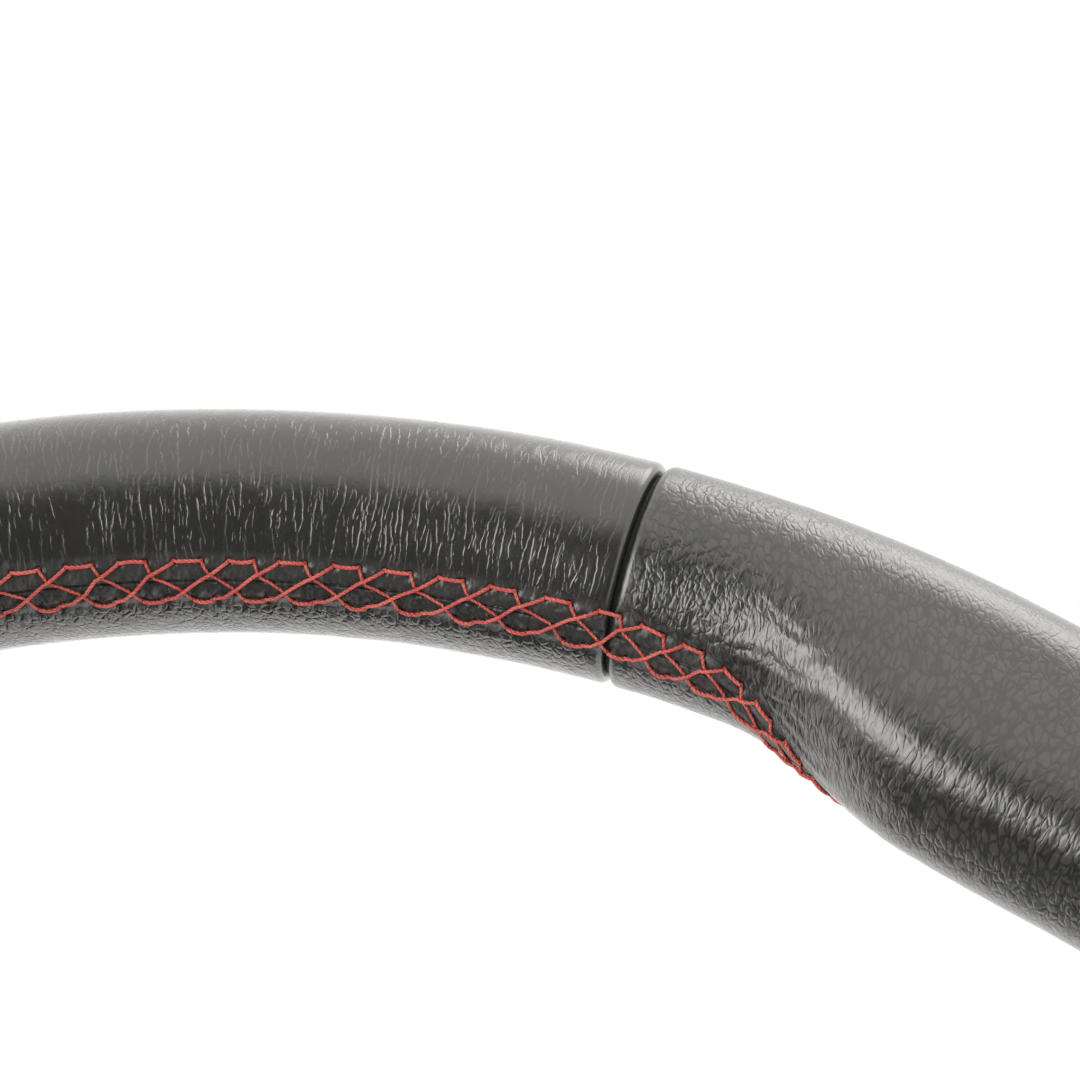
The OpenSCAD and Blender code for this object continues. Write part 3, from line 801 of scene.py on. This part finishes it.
# pale pink fuzz: lighter fibres and a painted sheen of the thread's highlights
red_thread.give(Base_Color=red_thread.blend(fuzz.rise(0.55, 0.72) * 0.4, red, (0.72, 0.30, 0.25, 1)),
                Roughness=fuzz * 0.3 + 0.42)
red_thread.relief(twist * 0.09 + fuzz * 0.05)

# the seam goes on over the panel joint, so the first stitches of a grip end the top row
over_joint = joined(top_holes, some(grip_holes, slice(3)))
grip_stitches = crossed_stitches(joint_holes, top_half_angle, lower_angle - 0.5, spoke=90)
top_stitches = crossed_stitches(over_joint, left_end, top_half_angle)
bottom_stitches = crossed_stitches(bottom_holes, lower_angle + 0.4, 360 - lower_angle - 0.4, spoke=180)
seam_grip = sewn_thread("seam_stitches_grip_right", grip_stitches, section_r, grip_seam)
seam_top = sewn_thread("seam_stitches_top", top_stitches, plain_r, plain_seam)
seam_bottom = sewn_thread("seam_stitches_bottom", bottom_stitches, plain_r, plain_seam)
seam_grip_left = mirrored(seam_grip, "seam_stitches_grip_left")
for piece, node in ((seam_top, "seam_thread_top"), (seam_bottom, "seam_thread_bottom"),
                    (seam_grip, "seam_thread_grip_right"), (seam_grip_left, "seam_thread_grip_left")):
    red_thread.dress(piece)
    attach(piece, "wheel")
    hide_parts(node)

# ----------------------------------------------------------------------------
# Horn button.  A moulded cup with two stamped brass contacts, a wound spring
# and a plain glossy cap, held in the wheel by the trim ring.
# ----------------------------------------------------------------------------
cup_plastic = Finish("moulded_black_plastic")
spark = cup_plastic.noise(cup_plastic.place(), 4.0, 2.0)
cup_plastic.give(Base_Color=cup_plastic.blend(spark, (0.012, 0.012, 0.013, 1), (0.022, 0.022, 0.024, 1)),
                 Roughness=spark * 0.2 + 0.4)
cup_plastic.relief(spark * 0.035)
cup_plastic.dress(nodes["horn_housing"])

cap_plastic = Finish("gloss_black_plastic")
ripple = cap_plastic.noise(cap_plastic.place(), 0.35, 1.0)
dust = cap_plastic.noise(cap_plastic.place(), 2.2, 5.0, 0.7)
cap_plastic.give(Base_Color=cap_plastic.blend(dust.rise(0.6, 0.8),
                                              (0.008, 0.008, 0.009, 1), (0.025, 0.025, 0.026, 1)),
                 Roughness=dust.rise(0.45, 0.8) * 0.2 + 0.1)
cap_plastic.relief(ripple * 0.03)
cap_plastic.dress(nodes["horn_cap"])

brass = Finish("stamped_brass")
tarnish = brass.noise(brass.place(), 0.5, 5.0, 0.6)
brass.give(Base_Color=brass.blend(tarnish.rise(0.4, 0.75), (0.78, 0.56, 0.22, 1), (0.42, 0.27, 0.11, 1)),
           Metallic=1.0, Roughness=tarnish * 0.3 + 0.16)
brass.relief(brass.noise(brass.place(), 3.0, 2.0) * 0.012)
brass.dress(nodes["horn_moving_contact"], nodes["horn_fixed_contact"], nodes["horn_terminals"])

horn_coil = wound_spring("horn_return_spring", "horn_spring", 0.5 * MM, 5)
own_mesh(horn_coil)

# ----------------------------------------------------------------------------
# Studio.  A white room, darker low in front of the wheel and low behind it, a
# soft box on the left, a strip light high on the right and a pale floor.  The
# camera is in front and looks up at the top right of the rim.
# ----------------------------------------------------------------------------
scene = bpy.context.scene
scene.view_settings.view_transform = "Standard"
world = bpy.data.worlds.new("studio")
scene.world = world
world.use_nodes = True


class Room(Finish):
    """The world's own shader tree, written in the same way."""

    def __init__(self):
        self.tree = world.node_tree
        self.tree.nodes.clear()


room = Room()
direction = room.node("ShaderNodeTexCoord")  # the way a ray of light comes from


def facing(x, y, z):
    """Cosine of the angle between a direction and this one."""
    length = math.sqrt(x * x + y * y + z * z)
    a, b, c = room.parts(direction)
    return a * (x / length) + b * (y / length) + c * (z / length)


dark_front = facing(-0.33, -0.68, -0.66).rise(0.48, 0.88) * 1.8
dark_behind = facing(-0.66, 0.48, -0.58).rise(0.79, 0.91) * 1.9
soft_box = facing(-0.84, -0.50, -0.14).rise(0.885, 0.965) * 7.0
strip_light = facing(0.56, -0.22, 0.80).rise(0.93, 0.98) * 4.0
glow = (1.78 - (dark_front + dark_behind)).most(0.02) + soft_box + strip_light
seen = room.node("ShaderNodeLightPath")  # 1 where the room itself is looked at
white = room.blend(seen, (1.0, 0.985, 0.955, 1), (1, 1, 1, 1))
walls = room.node("ShaderNodeBackground", None, {"Color": white, "Strength": glow * (1.0 - seen) + seen})
room.tree.links.new(walls.socket, room.tree.nodes.new("ShaderNodeOutputWorld").inputs[0])

bpy.ops.object.select_all(action="DESELECT")
bpy.ops.mesh.primitive_plane_add(size=6, location=(0, 0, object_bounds()[0][2] - 0.001))
floor = bpy.context.object
floor.name = "floor"
floor.visible_glossy = False   # the leather mirrors the room and not the floor
floor.visible_shadow = False   # light from below reaches the wheel
paper = Finish("pale_paper")
paper.give(Base_Color=(0.82, 0.82, 0.81, 1), Roughness=0.85)
paper.dress(floor)

camera = bpy.data.objects.new("camera", bpy.data.cameras.new("camera"))
scene.collection.objects.link(camera)
camera.location = (32.1 * MM, (rim_y - 217.0) * MM, -34.1 * MM)
camera.rotation_euler = [math.radians(angle) for angle in (130.34, 10.97, -0.46)]
camera.data.lens = 73.73
camera.data.sensor_width = 36
camera.data.clip_start = 0.01
scene.camera = camera
